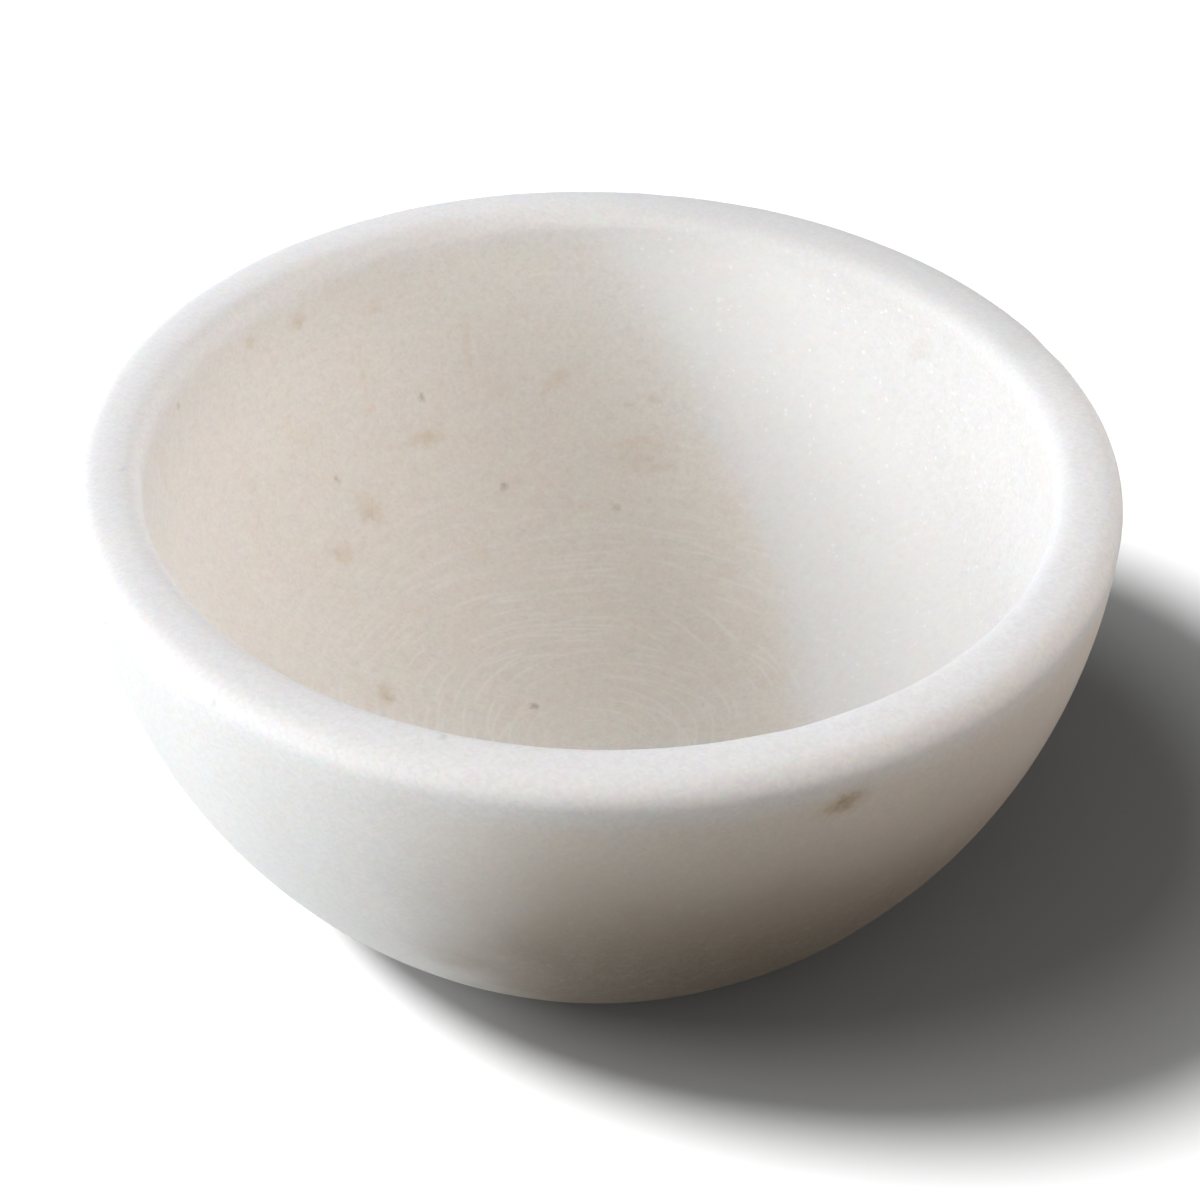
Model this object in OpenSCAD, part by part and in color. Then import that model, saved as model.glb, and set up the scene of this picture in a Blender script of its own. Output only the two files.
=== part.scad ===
// Shaving bowl, turned from one block of white marble and honed by hand. It has a ground flat
// base, a wall that thickens towards the heel, a dished floor and a softly eased lip.
// The whole bowl is one piece of stone, so its section is one closed outline revolved about Z:
// two full ovals, outside and inside, joined by a domed lip of arcs that meets both without a
// corner. Millimetres, +Z up. The origin is the centre of the base.

/* [Outside] */
// Largest diameter, just under the lip
body_d = 115; // [100:0.5:132]
// Height from the base to the crown of the lip
body_h = 53; // [46:0.5:64]
// Diameter of the flat base, before its edge is eased
base_d = 67; // [50:0.5:80]
// Fullness of the outside: 2 is a true oval, and more fills out the heel
outside_fullness = 1.96; // [1.8:0.02:2.4]
// Radius that eases the edge of the base
base_ease_r = 1.2; // [0.4:0.1:3]

/* [Cavity] */
// Thickness of the wall where it meets the lip
wall_t = 7.6; // [6.6:0.1:10]
// Thickness of the stone under the middle of the floor
floor_t = 9; // [6:0.25:14]
// Fullness of the cavity: 2 is a true oval, and more makes the floor flatter
cavity_fullness = 2.08; // [1.9:0.02:2.6]

/* [Lip] */
// Radius that eases the lip's outer edge
lip_outer_r = 2.6; // [1.5:0.1:3.2]
// Radius that eases the lip's inner edge
lip_inner_r = 2.4; // [1.5:0.1:3.2]
// Radius of the lip's slightly domed crown
lip_crown_r = 12; // [6:0.5:40]

/* [Hidden] */
oval_step = 3; // degrees of an oval to each facet of the section
ease_step = 5; // degrees of an eased edge to each facet of the section
$fn = 180;

// The direction from one point to another.
function heading(from, to) = atan2(to.y - from.y, to.x - from.x);

// The angles along a stretch of the section, in even steps. Every stretch leaves out its end,
// because the next stretch starts there.
function turn(from, to, step) =
    let (steps = max(2, ceil(abs(to - from) / step)))
    [for (i = [0:steps - 1]) from + (to - from) * i / steps];

// The points of an arc about a centre.
function arc(centre, r, from, to) =
    [for (a = turn(from, to, ease_step)) centre + r * [cos(a), sin(a)]];

// The points of a full oval that hangs from a rim. Its middle is on the axis, level with the
// rim, where it is upright (0 degrees). It reaches its whole depth on the axis (90 degrees).
function oval(rim, depth, fullness, from, to) =
    [for (a = turn(from, to, oval_step))
        [rim.x * pow(cos(a), 2 / fullness), rim.y - depth * pow(sin(a), 2 / fullness)]];

// A circle of radius r that rolls inside a larger one and stands over x. This is its centre in
// the upper half of the larger circle.
function rolled_to(big, big_r, r, x) =
    [x, big.y + sqrt(pow(big_r - r, 2) - pow(x - big.x, 2))];

body_r = body_d / 2;
base_r = base_d / 2;
mouth_r = body_r - wall_t;

// The crown stands over the middle of the wall. The two eased edges touch it from inside, and
// each is upright where the oval on its side takes over.
crown_c = [body_r - wall_t / 2, body_h - lip_crown_r];
lip_outer_c = rolled_to(crown_c, lip_crown_r, lip_outer_r, body_r - lip_outer_r);
lip_inner_c = rolled_to(crown_c, lip_crown_r, lip_inner_r, mouth_r + lip_inner_r);

// The outside oval is deep enough that the ground cuts it at the edge of the base.
outside_rim = [body_r, lip_outer_c.y];
outside_depth = outside_rim.y
    / pow(1 - pow(base_r / body_r, outside_fullness), 1 / outside_fullness);
function outside_turn(height) =
    asin(pow((outside_rim.y - height) / outside_depth, outside_fullness / 2));

// Where the oval meets the ground it rises at this angle, and the eased edge spans it.
heel_rise = atan(pow(base_r / body_r, outside_fullness - 1) * outside_depth / body_r
    / pow(outside_rim.y / outside_depth, outside_fullness - 1));
ease_c = [base_r - base_ease_r * tan(heel_rise / 2), base_ease_r];
ease_top = base_ease_r * (1 - cos(heel_rise));

// The cavity's oval hangs from the inner edge of the lip down to the middle of the floor.
cavity_rim = [mouth_r, lip_inner_c.y];
cavity_depth = cavity_rim.y - floor_t;

// From the middle of the base, out and up the outside, over the lip, and down to the floor.
section = concat(
    [[0, 0]],
    arc(ease_c, base_ease_r, -90, heel_rise - 90),
    oval(outside_rim, outside_depth, outside_fullness, outside_turn(ease_top), 0),
    arc(lip_outer_c, lip_outer_r, 0, heading(crown_c, lip_outer_c)),
    arc(crown_c, lip_crown_r, heading(crown_c, lip_outer_c), 90),
    arc(crown_c, lip_crown_r, 90, heading(crown_c, lip_inner_c)),
    arc(lip_inner_c, lip_inner_r, heading(crown_c, lip_inner_c), 180),
    oval(cavity_rim, cavity_depth, cavity_fullness, 0, 90),
    [[0, floor_t]]
);

module stone_bowl() {
    color([0.9, 0.89, 0.86])
        rotate_extrude()
            polygon(section);
}

stone_bowl();
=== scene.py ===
import bpy
import math
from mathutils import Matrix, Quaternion, Vector


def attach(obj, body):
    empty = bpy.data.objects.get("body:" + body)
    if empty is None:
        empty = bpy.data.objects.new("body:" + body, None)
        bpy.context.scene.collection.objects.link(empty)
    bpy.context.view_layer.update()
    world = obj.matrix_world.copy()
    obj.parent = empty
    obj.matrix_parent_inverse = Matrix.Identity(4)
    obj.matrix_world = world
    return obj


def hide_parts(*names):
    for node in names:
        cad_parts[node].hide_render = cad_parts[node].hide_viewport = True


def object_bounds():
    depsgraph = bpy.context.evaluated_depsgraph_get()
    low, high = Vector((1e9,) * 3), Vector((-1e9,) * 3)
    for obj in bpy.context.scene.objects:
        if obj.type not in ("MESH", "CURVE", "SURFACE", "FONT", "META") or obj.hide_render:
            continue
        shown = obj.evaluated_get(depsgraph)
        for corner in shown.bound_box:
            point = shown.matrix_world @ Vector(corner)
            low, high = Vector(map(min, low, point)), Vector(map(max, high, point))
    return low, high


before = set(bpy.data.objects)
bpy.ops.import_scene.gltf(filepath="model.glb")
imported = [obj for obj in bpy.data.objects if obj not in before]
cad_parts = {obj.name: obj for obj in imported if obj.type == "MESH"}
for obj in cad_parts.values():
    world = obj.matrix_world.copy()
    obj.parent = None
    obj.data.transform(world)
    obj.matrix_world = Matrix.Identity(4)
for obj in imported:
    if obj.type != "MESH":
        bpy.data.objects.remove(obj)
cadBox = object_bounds()
mm = 0.001
print("frame loaded:", sorted(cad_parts))


# camera: three quarters from above, on a longish lens

cameraSet = {
    "distance": 322 * mm,      # from the middle of the base
    "elevation": 42.32,        # degrees above the table
    "roll": 1.28,              # degrees, turned anticlockwise
    "lens": 78.65,             # millimetres
    "sensor": 36,
    "aim": (0.47 * mm, 0, 30.6 * mm),
    "near": 0.01,              # metres, from here to "far" is drawn
    "far": 20,
}


def makeCamera(sizes):
    tilt = math.radians(sizes["elevation"])
    place = Vector((0, -math.cos(tilt), math.sin(tilt))) * sizes["distance"]
    data = bpy.data.cameras.new("camera")
    data.lens = sizes["lens"]
    data.sensor_width = sizes["sensor"]
    data.clip_start = sizes["near"]
    data.clip_end = sizes["far"]
    camera = bpy.data.objects.new("camera", data)
    look = (Vector(sizes["aim"]) - place).to_track_quat("-Z", "Y")
    camera.rotation_mode = "QUATERNION"
    camera.location = place
    camera.rotation_quaternion = look @ Quaternion((0, 0, 1), math.radians(sizes["roll"]))
    bpy.context.scene.collection.objects.link(camera)
    bpy.context.scene.camera = camera


makeCamera(cameraSet)
print("camera placed")


# wiring: node trees written as arithmetic

class Wire:  # one socket that sums can be written on
    def __init__(self, bench, socket):
        self.bench, self.socket = bench, socket

    def __add__(self, other):
        return self.bench.maths("ADD", self, other)

    def __radd__(self, other):
        return self.bench.maths("ADD", other, self)

    def __sub__(self, other):
        return self.bench.maths("SUBTRACT", self, other)

    def __rsub__(self, other):
        return self.bench.maths("SUBTRACT", other, self)

    def __mul__(self, other):
        return self.bench.maths("MULTIPLY", self, other)

    def __rmul__(self, other):
        return self.bench.maths("MULTIPLY", other, self)

    def __truediv__(self, other):
        return self.bench.maths("DIVIDE", self, other)

    def __rtruediv__(self, other):
        return self.bench.maths("DIVIDE", other, self)

    def __neg__(self):
        return self.bench.maths("MULTIPLY", self, -1)


class Bench:  # adds nodes to one tree and joins them up
    def __init__(self, tree):
        self.tree = tree

    def join(self, value, socket):
        if isinstance(value, Wire):
            self.tree.links.new(value.socket, socket)
        elif isinstance(value, (tuple, list, Vector)):  # a colour's fourth number is 1
            fits = len(socket.default_value)
            socket.default_value = (tuple(value) + (1,))[:fits]
        else:
            socket.default_value = value

    def node(self, kind, settings=None, sockets=None, out=0):
        made = self.tree.nodes.new(kind)
        for name, value in (settings or {}).items():
            setattr(made, name, value)
        for name, value in (sockets or {}).items():
            self.join(value, made.inputs[name])
        return Wire(self, made.outputs[out]) if made.outputs else made

    def maths(self, operation, *values):
        kind = {"operation": operation}
        return self.node("ShaderNodeMath", kind, dict(enumerate(values)))

    def vectors(self, operation, *values, out=0):
        kind = {"operation": operation}
        return self.node("ShaderNodeVectorMath", kind, dict(enumerate(values)), out)

    def scaled(self, vector, amount):
        kind = {"operation": "SCALE"}
        return self.node("ShaderNodeVectorMath", kind, {0: vector, "Scale": amount})

    def ease(self, value, start, end, low=0.0, high=1.0):  # a smooth step between two values
        return self.node(
            "ShaderNodeMapRange",
            {"interpolation_type": "SMOOTHSTEP"},
            {"Value": value, "From Min": start, "From Max": end, "To Min": low, "To Max": high},
        )

    def band(self, value, ends, low=0.0, high=1.0):  # the same between two lengths in millimetres
        return self.ease(value, ends[0] * mm, ends[1] * mm, low, high)

    def along(self, place, way):  # how far a place lies in one direction
        return self.vectors("DOT_PRODUCT", place, way, out=1)

    def most(self, masks):  # the strongest of several masks
        found = masks[0]
        for mask in masks[1:]:
            found = self.maths("MAXIMUM", found, mask)
        return found

    def blend(self, amount, first, second):  # colours
        mix = {"data_type": "RGBA", "clamp_factor": True}
        return self.node("ShaderNodeMix", mix, {0: amount, 6: first, 7: second}, out=2)

    def parts(self, value):  # the three numbers in a place or a colour
        split = self.node("ShaderNodeSeparateXYZ", {}, {0: value})
        return [Wire(self, output) for output in split.socket.node.outputs]

    def noise(self, place, size, detail=2.0, roughness=0.5, out=0):  # size of one lump
        sockets = {"Vector": place, "Scale": 1 / size, "Detail": detail, "Roughness": roughness}
        return self.node("ShaderNodeTexNoise", {}, sockets, out)


# the bowl's section, which the frame gives its diameter and height

bowlSizes = {
    "diameter": min(cadBox[1].x - cadBox[0].x, cadBox[1].y - cadBox[0].y),
    "height": cadBox[1].z,
    "base": 67 * mm,            # diameter of the ground flat
    "baseEase": 1.2 * mm,       # radius at the edge of the flat
    "outsideFullness": 1.96,    # 2 is a true oval
    "wall": 7.6 * mm,           # thickness at the lip
    "floor": 9 * mm,            # thickness under the middle
    "cavityFullness": 2.08,
    "lipOuter": 2.6 * mm,       # radii of the eased lip
    "lipInner": 2.4 * mm,
    "lipCrown": 12 * mm,
    "sides": 320,               # faces round the bowl
    "rings": 290,               # faces along the section
    "unevenness": 0.16 * mm,    # how far hand honing strays from the true turning
    "unevenSpan": 21 * mm,
    "groundEase": (0.3, 4),     # millimetres up the wall, where the honing sets in
    "cavityEase": (0.014, 0.05),  # shares of the section past the lip, where the cavity sets in
    "weld": 0.002 * mm,         # closes the seam and both middles
    "seed": 4,
}

sectionSteps = {"baseEase": 8, "outside": 90, "lipEdge": 24, "crown": 16, "cavity": 120}


def heading(start, end):
    return math.atan2(end[1] - start[1], end[0] - start[0])


def arcPoints(centre, radius, start, end, steps):
    turn = [start + (end - start) * i / steps for i in range(steps)]
    return [(centre[0] + radius * math.cos(a), centre[1] + radius * math.sin(a)) for a in turn]


def ovalPoint(rim, depth, fullness, angle):
    across = max(0.0, math.cos(angle)) ** (2 / fullness)
    down = max(0.0, math.sin(angle)) ** (2 / fullness)
    return (rim[0] * across, rim[1] - depth * down)


def ovalPoints(rim, depth, fullness, start, end, steps):
    turn = [start + (end - start) * i / steps for i in range(steps)]
    return [ovalPoint(rim, depth, fullness, a) for a in turn]


def rolledTo(centre, radius, inner, across):  # centre of a circle that rolls inside another
    return (across, centre[1] + math.sqrt((radius - inner) ** 2 - (across - centre[0]) ** 2))


def layOut(sizes):  # the section's centres, rims and depths
    bodyR = sizes["diameter"] / 2
    baseR = sizes["base"] / 2
    mouthR = bodyR - sizes["wall"]
    crown = (bodyR - sizes["wall"] / 2, sizes["height"] - sizes["lipCrown"])
    outer = rolledTo(crown, sizes["lipCrown"], sizes["lipOuter"], bodyR - sizes["lipOuter"])
    inner = rolledTo(crown, sizes["lipCrown"], sizes["lipInner"], mouthR + sizes["lipInner"])
    full = sizes["outsideFullness"]
    depth = outer[1] / (1 - (baseR / bodyR) ** full) ** (1 / full)
    steep = (baseR / bodyR) ** (full - 1) * depth / bodyR / (outer[1] / depth) ** (full - 1)
    return {
        "baseR": baseR, "crown": crown, "outer": outer, "inner": inner,
        "outsideRim": (bodyR, outer[1]), "outsideDepth": depth, "rise": math.atan(steep),
        "cavityRim": (mouthR, inner[1]), "cavityDepth": inner[1] - sizes["floor"],
    }


layout = layOut(bowlSizes)


def sectionPoints(sizes, lay, steps):  # from the middle of the base, over the lip, to the floor
    quarter = math.pi / 2
    ease = sizes["baseEase"]
    easeAt = (lay["baseR"] - ease * math.tan(lay["rise"] / 2), ease)
    easeTop = ease * (1 - math.cos(lay["rise"]))
    full = sizes["outsideFullness"]
    leave = math.asin(((lay["outsideRim"][1] - easeTop) / lay["outsideDepth"]) ** (full / 2))
    over = heading(lay["crown"], lay["outer"])
    under = heading(lay["crown"], lay["inner"])
    points = [(0.0, 0.0)]
    points += arcPoints(easeAt, ease, -quarter, lay["rise"] - quarter, steps["baseEase"])
    points += ovalPoints(lay["outsideRim"], lay["outsideDepth"], full,
                         leave, 0, steps["outside"])
    points += arcPoints(lay["outer"], sizes["lipOuter"], 0, over, steps["lipEdge"])
    points += arcPoints(lay["crown"], sizes["lipCrown"], over, under, steps["crown"])
    points += arcPoints(lay["inner"], sizes["lipInner"], under, math.pi, steps["lipEdge"])
    points += ovalPoints(lay["cavityRim"], lay["cavityDepth"], sizes["cavityFullness"],
                         0, quarter, steps["cavity"])
    return points + [(0.0, sizes["floor"])]


# small damage on the lip, cut into the mesh, in millimetres

lipNicks = [
    {"at": (49.9, 21.3, 52.0), "width": 4.5, "depth": 0.35},   # flat on the right of the lip
    {"at": (7.5, 56.2, 51.0), "width": 2.6, "depth": 0.22},    # notch behind
    {"at": (-18.5, 46.0, 51.5), "width": 3.4, "depth": 0.25},  # step at the back of the mouth
    {"at": (-52.0, -22.0, 51.0), "width": 6.0, "depth": 0.12},
    {"at": (21.0, -48.5, 51.8), "width": 5.0, "depth": 0.12},
]


def turnedTree(sizes, nicks):  # turns the section about the axis and hones it by hand
    tree = bpy.data.node_groups.new("turnAndHone", "GeometryNodeTree")
    face = tree.interface
    face.new_socket("Section", in_out="INPUT", socket_type="NodeSocketGeometry")
    for name in ("Sides", "Rings"):
        face.new_socket(name, in_out="INPUT", socket_type="NodeSocketInt")
    for name in ("Lip", "Unevenness", "Uneven span", "Seed"):
        face.new_socket(name, in_out="INPUT", socket_type="NodeSocketFloat")
    face.new_socket("Stone", in_out="INPUT", socket_type="NodeSocketMaterial")
    face.new_socket("Bowl", in_out="OUTPUT", socket_type="NodeSocketGeometry")
    bench = Bench(tree)
    given = tree.nodes.new("NodeGroupInput")
    want = {socket.name: Wire(bench, socket) for socket in given.outputs if socket.name}

    grid = bench.node("GeometryNodeMeshGrid", {}, {
        "Size X": 1.0, "Size Y": 1.0,
        "Vertices X": want["Sides"] + 1, "Vertices Y": want["Rings"] + 1,
    })
    place = bench.node("GeometryNodeInputPosition")
    gridAcross, gridAlong = bench.parts(place)[:2]
    turn = (gridAcross + 0.5) * math.tau
    travel = gridAlong + 0.5
    drawn = bench.node(
        "GeometryNodeSampleCurve", {"mode": "FACTOR", "data_type": "FLOAT"},
        {"Curves": want["Section"], "Factor": travel},
        out="Position",
    )
    drawnParts = bench.parts(drawn)
    across, up = drawnParts[0], drawnParts[2]
    turned = bench.node("ShaderNodeCombineXYZ", {}, {
        0: across * bench.maths("COSINE", turn),
        1: across * bench.maths("SINE", turn),
        2: up,
    })
    starts, full = sizes["cavityEase"]
    pastLip = bench.ease(travel, want["Lip"] + starts, want["Lip"] + full)
    marked = bench.node(
        "GeometryNodeStoreNamedAttribute", {"data_type": "FLOAT", "domain": "POINT"},
        {"Geometry": grid, "Name": "cavity", "Value": pastLip},
    )
    lathed = bench.node("GeometryNodeSetPosition", {}, {"Geometry": marked, "Position": turned})
    closed = bench.node("GeometryNodeMergeByDistance", {},
                        {"Geometry": lathed, "Distance": sizes["weld"]})

    lumps = bench.node("ShaderNodeTexNoise", {"noise_dimensions": "4D"}, {
        "Vector": place, "W": want["Seed"], "Scale": 1 / want["Uneven span"],
        "Detail": 1.5, "Roughness": 0.45,
    })
    level = bench.parts(place)[2]
    offGround = bench.band(level, sizes["groundEase"])
    cut = want["Unevenness"] * bench.ease(lumps, 0.25, 0.75) * offGround
    for nick in nicks:
        far = bench.vectors("DISTANCE", place, [v * mm for v in nick["at"]], out=1)
        cut = cut + bench.ease(far, nick["width"] * mm, 0.0) * nick["depth"] * mm
    normal = bench.node("GeometryNodeInputNormal")
    inwards = bench.scaled(normal, -cut)
    honed = bench.node("GeometryNodeSetPosition", {}, {"Geometry": closed, "Offset": inwards})
    smooth = bench.node("GeometryNodeSetShadeSmooth", {}, {"Geometry": honed})
    real = bench.node("GeometryNodeRealizeInstances", {}, {"Geometry": smooth})
    stone = bench.node("GeometryNodeSetMaterial", {}, {"Geometry": real, "Material": want["Stone"]})
    bench.node("NodeGroupOutput", {}, {"Bowl": stone})
    return tree


def socketNames(tree):
    return {item.name: item.identifier for item in tree.interface.items_tree
            if item.item_type == "SOCKET" and item.in_out == "INPUT"}


def lipPlace(points):  # how far along the section the top of the lip comes
    steps = [math.dist(a, b) for a, b in zip(points, points[1:])]
    top = max(range(len(points)), key=lambda i: points[i][1])
    return sum(steps[:top]) / sum(steps)


def makeBowl(sizes, lay, nicks, stone):
    points = sectionPoints(sizes, lay, sectionSteps)
    curve = bpy.data.curves.new("bowlSection", "CURVE")
    curve.dimensions = "3D"
    line = curve.splines.new("POLY")
    line.points.add(len(points) - 1)
    for dot, (across, up) in zip(line.points, points):
        dot.co = (across, 0, up, 1)
    drawn = bpy.data.objects.new("bowlSection", curve)
    bpy.context.scene.collection.objects.link(drawn)
    tree = turnedTree(sizes, nicks)
    lathe = drawn.modifiers.new("lathe", "NODES")
    lathe.node_group = tree
    names = socketNames(tree)
    lathe[names["Sides"]] = sizes["sides"]
    lathe[names["Rings"]] = sizes["rings"]
    lathe[names["Lip"]] = lipPlace(points)
    lathe[names["Unevenness"]] = sizes["unevenness"]
    lathe[names["Uneven span"]] = sizes["unevenSpan"]
    lathe[names["Seed"]] = float(sizes["seed"])
    lathe[names["Stone"]] = stone
    done = drawn.evaluated_get(bpy.context.evaluated_depsgraph_get())
    mesh = bpy.data.meshes.new_from_object(done)
    drawn.modifiers.remove(lathe)
    bpy.data.objects.remove(drawn)
    mesh.name = "marbleBowl"
    bowl = bpy.data.objects.new("marble_bowl", mesh)
    bpy.context.scene.collection.objects.link(bowl)
    return bowl


# the stone: pale ground, clouds, painted shade and light, crystals, painted glints, turning marks,
# then the flecks one by one

stoneLook = {
    "pale": (0.90, 0.895, 0.885),
    "cool": (0.885, 0.885, 0.885),
    "beigeAndShade": (0.882, 0.842, 0.778),      # warm on the cavity's shadowed side: partly the stone's own warm cloud, partly painted shade
    "paintedShadowEdge": (0.86, 0.86, 0.88),         # a cool painted tint along the edge of the cavity's shadow
    "rosy": (0.86, 0.785, 0.70),         # warm spots in it
    "tawnyShade": (0.86, 0.80, 0.715),        # painted warm shade on the outer wall's shaded side, from the lip down
    # painted shade, darker towards the foot on the shaded side
    "umberShade": (0.50, 0.42, 0.33),
    # painted shade, darkest near the foot on the shaded side
    "footShade": (0.30, 0.25, 0.20),
    "paintedLipLight": (0.96, 0.975, 1.0),      # painted light: a paler lip, most of all on the left, facing the lamps
    "greyShade": (0.79, 0.80, 0.805),       # painted shade: greyer behind, and on the wall on the left under the lip
    "wispPale": (0.96, 0.955, 0.945),
    "wispDark": (0.70, 0.665, 0.625),
    "crystalDark": (0.62, 0.61, 0.60),
    "litCrystal": (0.95, 0.95, 0.945),   # painted light: paler crystals on the cavity's lit right side, where the grain is washed out
    # painted glint on a few crystals
    "glint": (1.0, 1.0, 1.0),
    "ring": (0.97, 0.965, 0.95),
    "cloud": 26 * mm,           # width of one soft cloud
    "wave": 13 * mm,            # width of the waves at the edge of a bed
    "waveReach": 14 * mm,       # how far they push it
    "patch": 6 * mm,
    "wisp": 1.3 * mm,
    "crystal": 0.36 * mm,
    "pits": 1.1 * mm,           # width of the honed surface's small hollows
    "pitDepth": 0.07 * mm,
    "pitShare": 0.5,
    "roughness": 0.5,
    "crystalMatt": 0.08,        # how much rougher a dark crystal is
    "glintGloss": 0.25,         # how much smoother a glinting one is
    "scatterShare": 0.7,
    "scatter": 1.0 * mm,        # how far light wanders between two crystals
    "scatterTint": (1.0, 0.60, 0.40),
    "grain": 0.10,              # how much one crystal differs from the next
    "polish": 0.06,
}

stoneWays = {  # directions: across the cavity from its shaded to its lit side, and towards the outer wall's shaded side, its left and its back, where painted shade and light are laid
    "shadeBed": (1, 0, 0.75),
    "foot": (1, -0.35, 0),
    "left": (-0.97, 0.25, 0),
    "rear": (0.55, 0.83, 0),
}

stoneEdges = {  # millimetres, where each one sets in and where it is full
    "beigeAndShade": (41, 32),          # across the cavity towards its lit side
    "beigeDeep": (48, 16),      # down the cavity
    "paintedShadowEdge": (33, 38),
    "lilacEnd": (56, 42),
    "lit": (30, 42),
    "litEnd": (72, 56),
    "foot": (-5, 19),
    "tawnyShade": (51.5, 46),        # down the wall
    "umberShade": (51.5, 21),
    "footShade": (40, 14),
    "leftLip": (22, 50),
    "onLip": (47, 51),          # up the wall
    "rear": (34, 54),
    "leftWall": (26, 45),
    "underLip": (51, 47),
    "rings": (46, 24),          # towards the middle
    "ringsMiddle": (1, 9),      # where they fade again
}

cloudEdges = {  # values of a noise between which each one sets in
    "cool": (0.36, 0.66),
    "beigeAndShade": (0.25, 0.55),
    "rosy": (0.56, 0.74),
    "wispPale": (0.50, 0.75),
    "wispDark": (0.50, 0.25),
    "glint": (0.982, 0.992),    # so few crystals that each one tells
    "glintPatch": (0.35, 0.55),
    "thinFleck": (0.70, 0.35),
}

stoneCover = {  # how much each one hides of what lies under it, 1 for all of it
    "beigeAndShade": 0.9,
    "beigeThin": 0.7,           # shares of that, between two clouds and high in the cavity
    "beigeHigh": 0.55,
    "paintedShadowEdge": 0.6,
    "tawnyShade": 0.75,
    "footShade": 0.9,
    "lipLeast": 0.45,           # away from the left
    "rearSpared": 0.45,         # by so much less in the cavity
    "rosy": 0.06,
    "rosyBeige": 0.50,          # on top of that in the warm painted shade
    "wisp": 0.15,
    "wispInside": 0.20,
    "lit": 0.5,
    "glint": 0.10,
    "glintLit": 0.75,
}

turningMarks = [  # middle across and along, pitch, wander, width of a line
    {"middle": (0.4, -0.3), "pitch": 1.95, "wander": 1.0, "thin": 0.13},
    {"middle": (-2.6, 1.8), "pitch": 2.90, "wander": 0.7, "thin": 0.10},
    {"middle": (3.4, 1.2), "pitch": 2.35, "wander": 0.9, "thin": 0.11},
    {"middle": (0.5, -4.0), "pitch": 4.30, "wander": 0.6, "thin": 0.07},
]

ringLook = {
    "drift": 30 * mm,           # width of the waves in a ring
    "driftReach": 3.0,          # how many rings they cross
    "gap": 9 * mm,              # width of a break
    "gapEase": (0.46, 0.62),
    "blur": 2.4,                # how far a line's edge spreads
    "middleLeast": 0.3,         # share left at the very middle
    "litSpared": 0.8,           # by so much less on the cavity's lit side, where painted light washes the grain out
    "strength": 0.36,
}

tints = {
    "ochre": (0.62, 0.47, 0.28),
    "brown": (0.36, 0.26, 0.14),
    "grey": (0.56, 0.51, 0.45),
    "dark": (0.20, 0.19, 0.16),
    "pink": (0.78, 0.58, 0.46),
}

fleckLook = {
    "fade": 1.7,                # how far a fleck's edge spreads
    "strength": 0.85,
    "roundish": 1.5,            # longer than this for its width, a fleck is drawn slanted
    "jag": 0.9 * mm,            # width of the waves at its edge
    "jagReach": 1.3 * mm,
    "thinnest": 0.55,           # share left where a pale wisp crosses it
}

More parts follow.
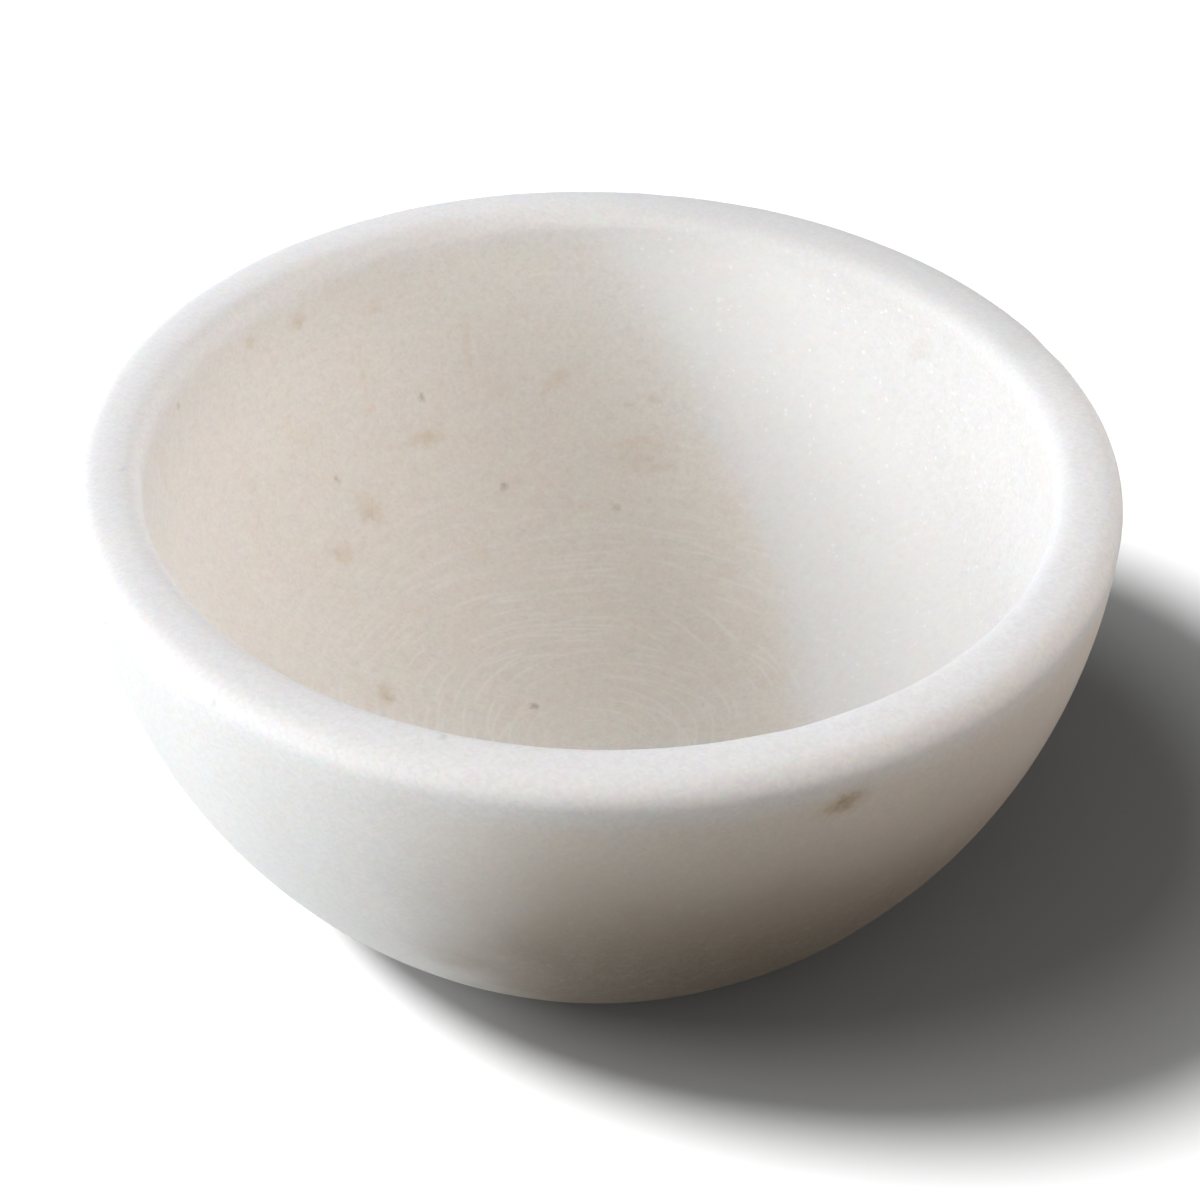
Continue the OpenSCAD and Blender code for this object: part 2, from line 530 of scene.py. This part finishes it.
flecks = [  # side, bearing, distance from the axis, height, long, wide, slant, tint, strength
    ("in", 138, 49.7, 46.6, 2.6, 2.0, 70, "ochre", 0.42),
    ("in", 147, 49.8, 47.4, 2.2, 1.7, 60, "ochre", 0.32),
    ("in", 125, 49.4, 44.3, 2.4, 1.4, 60, "pink", 0.35),
    ("in", 166, 49.8, 48.1, 0.9, 0.7, 0, "dark", 0.65),
    ("in", 120, 45.2, 32.0, 1.1, 0.9, 0, "dark", 0.62),
    ("in", 129, 45.5, 32.7, 1.3, 1.0, 80, "pink", 0.55),
    ("in", 129, 46.8, 35.5, 7.0, 0.7, 85, "pink", 0.22),
    ("in", 121, 42.4, 27.7, 4.2, 1.8, -8, "ochre", 0.50),
    ("in", 140, 42.3, 27.6, 1.1, 0.9, 0, "brown", 0.50),
    ("in", 156, 45.5, 32.6, 2.0, 1.4, 0, "ochre", 0.22),
    ("in", 137, 38.9, 23.6, 4.8, 3.0, -60, "ochre", 0.34),
    ("in", 138, 38.4, 23.2, 2.0, 1.5, -60, "brown", 0.18),
    ("in", 148, 36.8, 21.7, 3.0, 2.4, 0, "ochre", 0.36),
    ("in", 149, 37.0, 21.9, 1.4, 1.2, 0, "brown", 0.16),
    ("in", 109, 36.8, 21.6, 1.1, 0.9, 0, "brown", 0.60),
    ("in", 97, 44.9, 31.5, 4.2, 2.0, 30, "ochre", 0.30),
    ("in", 99, 44.2, 30.3, 1.6, 1.0, 40, "ochre", 0.30),
    ("in", 111, 47.4, 36.6, 9.0, 1.2, 88, "pink", 0.25),
    ("in", 82, 39.2, 24.0, 8.0, 4.6, 20, "ochre", 0.22),
    ("in", 84, 40.2, 25.3, 4.0, 1.4, 10, "pink", 0.40),
    ("in", 79, 38.0, 22.9, 4.6, 1.2, 25, "ochre", 0.35),
    ("in", 81, 43.7, 29.6, 1.6, 0.9, 0, "ochre", 0.35),
    ("in", 85, 43.2, 28.9, 1.4, 0.8, 0, "ochre", 0.35),
    ("in", 86, 33.9, 19.3, 1.2, 0.9, 0, "brown", 0.40),
    ("in", 93, 33.9, 19.3, 1.6, 1.0, 0, "pink", 0.45),
    ("in", 175, 25.1, 14.1, 3.6, 2.2, 10, "ochre", 0.50),
    ("in", 176, 24.4, 13.8, 1.6, 1.2, 0, "brown", 0.35),
    ("in", 142, 9.2, 9.6, 1.2, 0.9, 0, "dark", 0.55),
    ("in", 39, 49.6, 45.7, 4.0, 2.4, 60, "grey", 0.22),
    ("in", 250, 44.0, 30.0, 3.0, 1.4, 30, "ochre", 0.35),
    ("in", 305, 40.5, 25.6, 2.0, 1.2, -20, "pink", 0.40),
    ("out", 295, 57.3, 47.2, 3.3, 1.6, 14, "brown", 0.76),
    ("out", 295, 57.3, 47.2, 5.4, 3.2, 14, "ochre", 0.50),
    ("out", 230, 57.4, 51.1, 0.9, 0.7, 0, "dark", 0.35),
    ("out", 188, 51.6, 52.9, 0.9, 0.7, 0, "brown", 0.40),
    ("out", 254, 51.9, 52.9, 1.0, 0.7, 0, "dark", 0.35),
    ("out", 235, 53.7, 32.0, 15.0, 1.1, -80, "pink", 0.45),
    ("out", 238, 50.6, 25.0, 9.0, 1.3, -55, "pink", 0.60),
    ("out", 242, 46.5, 18.0, 11.0, 1.6, -60, "ochre", 0.35),
    ("out", 281, 50.5, 24.8, 8.5, 1.1, 2, "brown", 0.35),
    ("out", 321, 55.2, 35.5, 10.0, 1.0, 55, "pink", 0.30),
    ("out", 40, 55.0, 34.0, 3.0, 1.5, 20, "ochre", 0.45),
    ("out", 95, 52.0, 27.0, 2.0, 1.4, 0, "brown", 0.40),
    ("out", 120, 56.4, 41.0, 12.0, 1.0, 40, "pink", 0.35),
    ("out", 160, 50.0, 23.0, 2.6, 1.4, -30, "ochre", 0.45),
]


def surfaceWays(side, bearing, out, height):  # along the bowl's round, and up its wall
    if side == "in":
        rim, depth, full = layout["cavityRim"], layout["cavityDepth"], bowlSizes["cavityFullness"]
    else:
        rim, depth = layout["outsideRim"], layout["outsideDepth"]
        full = bowlSizes["outsideFullness"]
    down = max(0.0, rim[1] - height)
    outwards = (out / rim[0]) ** (full - 1) / rim[0]
    upwards = (down / depth) ** (full - 1) / depth
    size = math.hypot(outwards, upwards)
    turn = math.radians(bearing)
    radial = Vector((math.cos(turn), math.sin(turn), 0))
    around = Vector((-math.sin(turn), math.cos(turn), 0))
    up = radial * (upwards / size) + Vector((0, 0, outwards / size))
    return around, up


def fleckMask(bench, place, fleck):  # strength in the middle, fading to nothing at its edge
    side, bearing, out, height, long, wide, slant, tint, strength = fleck
    turn, lean = math.radians(bearing), math.radians(slant)
    middle = Vector((out * math.cos(turn), out * math.sin(turn), height)) * mm
    around, up = surfaceWays(side, bearing, out * mm, height * mm)
    if side == "in":
        around = -around
    if max(long, wide) < fleckLook["roundish"] * min(long, wide):
        away = bench.vectors("DISTANCE", place, middle, out=1)
        reach = math.sqrt(long * wide) / 2 * mm
    else:
        lengthwise = around * math.cos(lean) + up * math.sin(lean)
        offset = bench.vectors("SUBTRACT", place, middle)
        past = bench.along(offset, lengthwise * (1 - wide / long))
        squeezed = bench.scaled(lengthwise.normalized(), -past)
        away = bench.vectors("LENGTH", bench.vectors("ADD", offset, squeezed), out=1)
        reach = wide / 2 * mm
    return bench.ease(away, reach * fleckLook["fade"], 0.0, 0.0, strength * fleckLook["strength"])


def turningLines(bench, flat, mark, drift, gap):  # thin broken rings about one middle
    middle = (mark["middle"][0] * mm, mark["middle"][1] * mm, 0)
    out = bench.vectors("DISTANCE", flat, middle, out=1)
    shift = drift * (ringLook["driftReach"] * mark["wander"])
    wave = bench.maths("PINGPONG", out / (mark["pitch"] * mm) + shift, 0.5) * 2
    line = bench.ease(wave, 1 - mark["thin"] * ringLook["blur"], 1.0)
    return line * bench.ease(gap, *ringLook["gapEase"])


def stoneBedsAndPaintedShade(bench, place, inside, look, cover):  # the pale ground and its clouds, with painted shade and painted light laid on it
    level = bench.parts(place)[2]
    outside = 1 - inside
    clouds = bench.noise(place, look["cloud"], 3.0)
    ripple = (bench.noise(place, look["wave"], 3.0) - 0.5) * look["waveReach"]
    slope = bench.along(place, stoneWays["shadeBed"])
    colour = bench.blend(bench.ease(clouds, *cloudEdges["cool"]), look["pale"], look["cool"])

    # painted shade: warm where the cavity lies in the rim's shadow, partly the stone's own warm
    # cloud
    beigeAndShade = bench.band(slope + ripple, stoneEdges["beigeAndShade"]) * inside
    beigeAndShade = beigeAndShade * bench.ease(clouds, *cloudEdges["beigeAndShade"], cover["beigeThin"])
    beigeAndShade = beigeAndShade * bench.band(level, stoneEdges["beigeDeep"], cover["beigeHigh"])
    colour = bench.blend(beigeAndShade * cover["beigeAndShade"], colour, look["beigeAndShade"])
    # painted shade: a cool tint along the edge of the cavity's shadow
    paintedShadowEdge = bench.band(slope + ripple, stoneEdges["paintedShadowEdge"])
    paintedShadowEdge = paintedShadowEdge * bench.band(slope, stoneEdges["lilacEnd"]) * inside
    colour = bench.blend(paintedShadowEdge * cover["paintedShadowEdge"], colour, look["paintedShadowEdge"])

    # the outer wall's side away from the lamps, where warm and dark shade is painted
    shadeSide = bench.along(place, stoneWays["foot"]) + ripple
    shadeSide = bench.band(shadeSide, stoneEdges["foot"]) * outside
    tawnyShade = bench.band(level, stoneEdges["tawnyShade"]) * shadeSide
    colour = bench.blend(tawnyShade * cover["tawnyShade"], colour, look["tawnyShade"])
    # painted shade: dark brown lower on the shaded side
    umberShade = bench.band(level + ripple * 0.6, stoneEdges["umberShade"]) * shadeSide
    colour = bench.blend(umberShade, colour, look["umberShade"])
    # painted shade: darkest near the foot on the side away from the lamps
    footShade = bench.band(level, stoneEdges["footShade"]) * shadeSide
    colour = bench.blend(footShade * cover["footShade"], colour, look["footShade"])

    # painted light: the lip paler on its left, the side facing the lamps
    leftward = bench.along(place, stoneWays["left"])
    leftLip = bench.band(leftward, stoneEdges["leftLip"], cover["lipLeast"])
    leftLip = leftLip * bench.band(level, stoneEdges["onLip"]) * outside
    colour = bench.blend(leftLip, colour, look["paintedLipLight"])
    # painted shade: greyer behind, and on the left wall under the lip
    rear = bench.band(bench.along(place, stoneWays["rear"]), stoneEdges["rear"])
    leftWall = bench.band(leftward, stoneEdges["leftWall"])
    leftWall = leftWall * bench.band(level, stoneEdges["underLip"]) * outside
    greyShade = bench.most([rear * (1 - inside * cover["rearSpared"]), leftWall])
    colour = bench.blend(greyShade, colour, look["greyShade"])
    return colour, beigeAndShade, slope


def stoneGrain(bench, place, inside, shadeBed, look, cover):  # spots, wisps and crystals, with painted light and painted glints on the cavity's lit side
    colour, beigeAndShade, slope = shadeBed
    patches = bench.noise(bench.vectors("ADD", place, (3.1, 0, 0)), look["patch"], 2.5)
    rosy = cover["rosy"] + beigeAndShade * cover["rosyBeige"]
    warmSpots = bench.ease(patches, *cloudEdges["rosy"]) * rosy
    colour = bench.blend(warmSpots, colour, look["rosy"])

    stretched = bench.vectors("MULTIPLY", place, (1, 1, 1.25))
    wisps = bench.noise(stretched, look["wisp"], 5.0, 0.72)
    veil = cover["wisp"] + inside * cover["wispInside"]
    for tone in ("wispPale", "wispDark"):
        colour = bench.blend(bench.ease(wisps, *cloudEdges[tone]) * veil, colour, look[tone])

    cell = bench.node(
        "ShaderNodeTexVoronoi", {"feature": "F1"},
        {"Vector": place, "Scale": 1 / look["crystal"], "Randomness": 1.0},
        out="Color",
    )
    shade, luck = bench.parts(cell)[:2]
    # painted light: paler, with the grain washed out, on the cavity's lit side
    lit = bench.band(slope, stoneEdges["lit"]) * inside
    washed = lit * bench.band(slope, stoneEdges["litEnd"])
    # painted glints: a few crystals drawn white, most of all on the lit side
    glint = bench.ease(luck, *cloudEdges["glint"])
    glint = glint * bench.ease(patches, *cloudEdges["glintPatch"])
    colour = bench.blend(shade * (2 * look["grain"]), colour, look["crystalDark"])
    colour = bench.blend(washed * cover["lit"], colour, look["litCrystal"])
    shown = glint * (cover["glint"] + lit * cover["glintLit"])
    colour = bench.blend(shown, colour, look["glint"])
    return colour, wisps, lit, shade, glint


def stoneRings(bench, place, inside, colour, lit, look):  # what the turning left on the floor
    flat = bench.vectors("MULTIPLY", place, (1, 1, 0))
    out = bench.vectors("LENGTH", flat, out=1)
    ground = bench.band(out, stoneEdges["rings"])
    ground = ground * bench.band(out, stoneEdges["ringsMiddle"], ringLook["middleLeast"])
    ground = ground * inside * (1 - lit * ringLook["litSpared"])
    drifts = bench.parts(bench.noise(place, ringLook["drift"], 1.0, out=1))
    gaps = bench.parts(bench.noise(place, ringLook["gap"], 1.0, out=1))
    lines = bench.most([
        turningLines(bench, flat, mark, drifts[number % 3], gaps[(number + 1) % 3])
        for number, mark in enumerate(turningMarks)
    ])
    return bench.blend(lines * ground * ringLook["strength"], colour, look["ring"])


def stoneFlecks(bench, place, colour, wisps):
    jag = bench.noise(place, fleckLook["jag"], 2.0, out=1)
    jag = bench.vectors("SUBTRACT", jag, (0.5, 0.5, 0.5))
    jag = bench.vectors("MULTIPLY", jag, (fleckLook["jagReach"],) * 3)
    shaken = bench.vectors("ADD", place, jag)
    thin = bench.ease(wisps, *cloudEdges["thinFleck"], fleckLook["thinnest"])
    for tint, shadeOf in tints.items():
        spots = bench.most([fleckMask(bench, shaken, fleck) for fleck in flecks if fleck[7] == tint])
        colour = bench.blend(spots * thin, colour, shadeOf)
    return colour


def marble(look):
    material = bpy.data.materials.new("honedMarble")
    material.use_nodes = True
    tree = material.node_tree
    tree.nodes.clear()
    bench = Bench(tree)
    place = bench.node("ShaderNodeTexCoord", out="Object")
    inside = bench.node("ShaderNodeAttribute", {"attribute_name": "cavity"}, out="Fac")
    shadeBed = stoneBedsAndPaintedShade(bench, place, inside, look, stoneCover)
    colour, wisps, lit, shade, glint = stoneGrain(bench, place, inside, shadeBed, look, stoneCover)
    colour = stoneRings(bench, place, inside, colour, lit, look)
    colour = stoneFlecks(bench, place, colour, wisps)
    pits = bench.noise(place, look["pits"], 3.0, 0.6)
    normal = bench.node("ShaderNodeBump", {}, {
        "Height": pits, "Strength": look["pitShare"], "Distance": look["pitDepth"],
    })
    roughness = look["roughness"] + shade * look["crystalMatt"] - glint * look["glintGloss"]
    shader = bench.node("ShaderNodeBsdfPrincipled", {"subsurface_method": "RANDOM_WALK"}, {
        "Base Color": colour, "Roughness": roughness,
        "IOR": 1.5, "Specular IOR Level": look["polish"],
        "Subsurface Weight": look["scatterShare"], "Subsurface Radius": look["scatterTint"],
        "Subsurface Scale": look["scatter"], "Normal": normal,
    })
    bench.node("ShaderNodeOutputMaterial", {}, {"Surface": shader})
    return material


bowl = makeBowl(bowlSizes, layout, lipNicks, marble(stoneLook))
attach(bowl, "root")
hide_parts("stone_bowl")
print("bowl turned:", len(bowl.data.polygons), "faces")


# the floor is pale where it is seen and dark to the stone, so that the bowl's foot stays in shade

floorLook = {
    "seen": (0.42, 0.42, 0.42),        # its own lamps make this white outside the shadow
    "bounce": (0.010, 0.009, 0.008),
    "reach": 4.0,                      # metres each way
}


def plainlySeen(bench):  # 1 for the camera and for what a reflection or clear thing shows
    path = bench.node("ShaderNodeLightPath")
    rays = path.socket.node.outputs
    seen = Wire(bench, rays["Is Camera Ray"])
    for ray in ("Is Glossy Ray", "Is Transmission Ray"):
        seen = bench.maths("MAXIMUM", seen, Wire(bench, rays[ray]))
    return seen


def makeFloor(look):
    mesh = bpy.data.meshes.new("floor")
    side = look["reach"]
    mesh.from_pydata([(-side, -side, 0), (side, -side, 0), (side, side, 0), (-side, side, 0)],
                     [], [(0, 1, 2, 3)])
    floor = bpy.data.objects.new("floor", mesh)
    bpy.context.scene.collection.objects.link(floor)
    material = bpy.data.materials.new("paleFloor")
    material.use_nodes = True
    tree = material.node_tree
    tree.nodes.clear()
    bench = Bench(tree)
    colour = bench.blend(plainlySeen(bench), look["bounce"], look["seen"])
    shader = bench.node("ShaderNodeBsdfDiffuse", {}, {"Color": colour})
    bench.node("ShaderNodeOutputMaterial", {}, {"Surface": shader})
    mesh.materials.append(material)
    return floor


# soft lamps for the bowl and suns for the floor
# bearing and lift in degrees; a level of 1 shows a white card that faces the lamp as white

bowlLamps = [
    {"name": "windowLow", "bearing": 183, "lift": -4.5, "away": 1.2, "wide": 0.32, "tall": 0.68,
     "level": 0.40, "colour": (0.99, 1.02, 0.99)},
    {"name": "windowHigh", "bearing": 183, "lift": 20.5, "away": 1.2, "wide": 0.32, "tall": 0.52,
     "level": 0.43, "colour": (0.99, 0.98, 1.01)},
    {"name": "windowNear", "bearing": 207, "lift": 21, "away": 1.2, "wide": 0.40, "tall": 0.40,
     "level": 0.285, "colour": (0.94, 1.0, 1.07)},
    {"name": "windowFoot", "bearing": 225, "lift": 5, "away": 1.2, "wide": 0.40, "tall": 0.50,
     "level": 0.175, "colour": (1.01, 1.0, 1.00)},
    {"name": "front", "bearing": 283, "lift": 66, "away": 1.2, "wide": 0.60, "tall": 0.60,
     "level": 0.305, "colour": (1.06, 0.995, 0.94)},
    {"name": "frontLow", "bearing": 275, "lift": 10, "away": 1.2, "wide": 0.50, "tall": 0.50,
     "level": 0.03, "colour": (1.3, 1.05, 0.65)},
    {"name": "right", "bearing": 0, "lift": 27, "away": 1.2, "wide": 0.70, "tall": 0.70,
     "level": 0.395, "colour": (1.065, 0.98, 0.945)},
    {"name": "back", "bearing": 90, "lift": 30, "away": 1.2, "wide": 0.70, "tall": 0.70,
     "level": 0.31, "colour": (0.91, 1.0, 1.08)},
]
floorLamps = [
    {"name": "floorKey", "bearing": 183, "lift": 51.5, "spread": 14, "level": 2.70},
    {"name": "floorHaze", "bearing": 183, "lift": 50, "spread": 50, "level": 0.84},
    {"name": "floorSky", "bearing": 270, "lift": 45, "spread": 90, "level": 0.24},
]
roomLight = {"level": 0.004, "colour": (1.0, 0.95, 0.9)}
lampAim = 28 * mm              # height of the point that every lamp faces
sunAway = 1.5


def towards(bearing, lift):
    turn, rise = math.radians(bearing), math.radians(lift)
    return Vector((math.cos(turn) * math.cos(rise), math.sin(turn) * math.cos(rise),
                   math.sin(rise)))


def only(name, *things):  # a collection that a lamp's light is kept to
    group = bpy.data.collections.new(name)
    for thing in things:
        group.objects.link(thing)
    return group


def hangLamp(data, way, away, lit, shading):
    lamp = bpy.data.objects.new(data.name, data)
    lamp.location = way * away + Vector((0, 0, lampAim))
    lamp.rotation_mode = "QUATERNION"
    lamp.rotation_quaternion = way.to_track_quat("Z", "Y")
    bpy.context.scene.collection.objects.link(lamp)
    lamp.light_linking.receiver_collection = lit
    lamp.light_linking.blocker_collection = shading
    return lamp


def makeSoftbox(lamp, lit, shading):
    data = bpy.data.lights.new(lamp["name"], "AREA")
    data.shape = "RECTANGLE"
    data.size = lamp["wide"]
    data.size_y = lamp["tall"]
    data.energy = lamp["level"] * (math.pi * lamp["away"]) ** 2
    data.color = lamp["colour"]
    return hangLamp(data, towards(lamp["bearing"], lamp["lift"]), lamp["away"], lit, shading)


def makeSun(lamp, lit, shading):
    data = bpy.data.lights.new(lamp["name"], "SUN")
    data.angle = math.radians(lamp["spread"])
    data.energy = lamp["level"] * math.pi
    return hangLamp(data, towards(lamp["bearing"], lamp["lift"]), sunAway, lit, shading)


def makeRoom(light):  # white to the camera, a plain dim glow to everything else
    world = bpy.data.worlds.new("room")
    world.use_nodes = True
    tree = world.node_tree
    tree.nodes.clear()
    bench = Bench(tree)
    glow = [part * light["level"] for part in light["colour"]]
    colour = bench.blend(plainlySeen(bench), glow, (1, 1, 1))
    shader = bench.node("ShaderNodeBackground", {}, {"Color": colour, "Strength": 1.0})
    bench.node("ShaderNodeOutputWorld", {}, {"Surface": shader})
    bpy.context.scene.world = world


floor = makeFloor(floorLook)
bowlOnly = only("litBowl", bowl)
floorOnly = only("litFloor", floor)
for lamp in bowlLamps:
    makeSoftbox(lamp, bowlOnly, bowlOnly)
for lamp in floorLamps:
    makeSun(lamp, floorOnly, bowlOnly)
makeRoom(roomLight)
bpy.context.scene.view_settings.view_transform = "Standard"
print("lit")
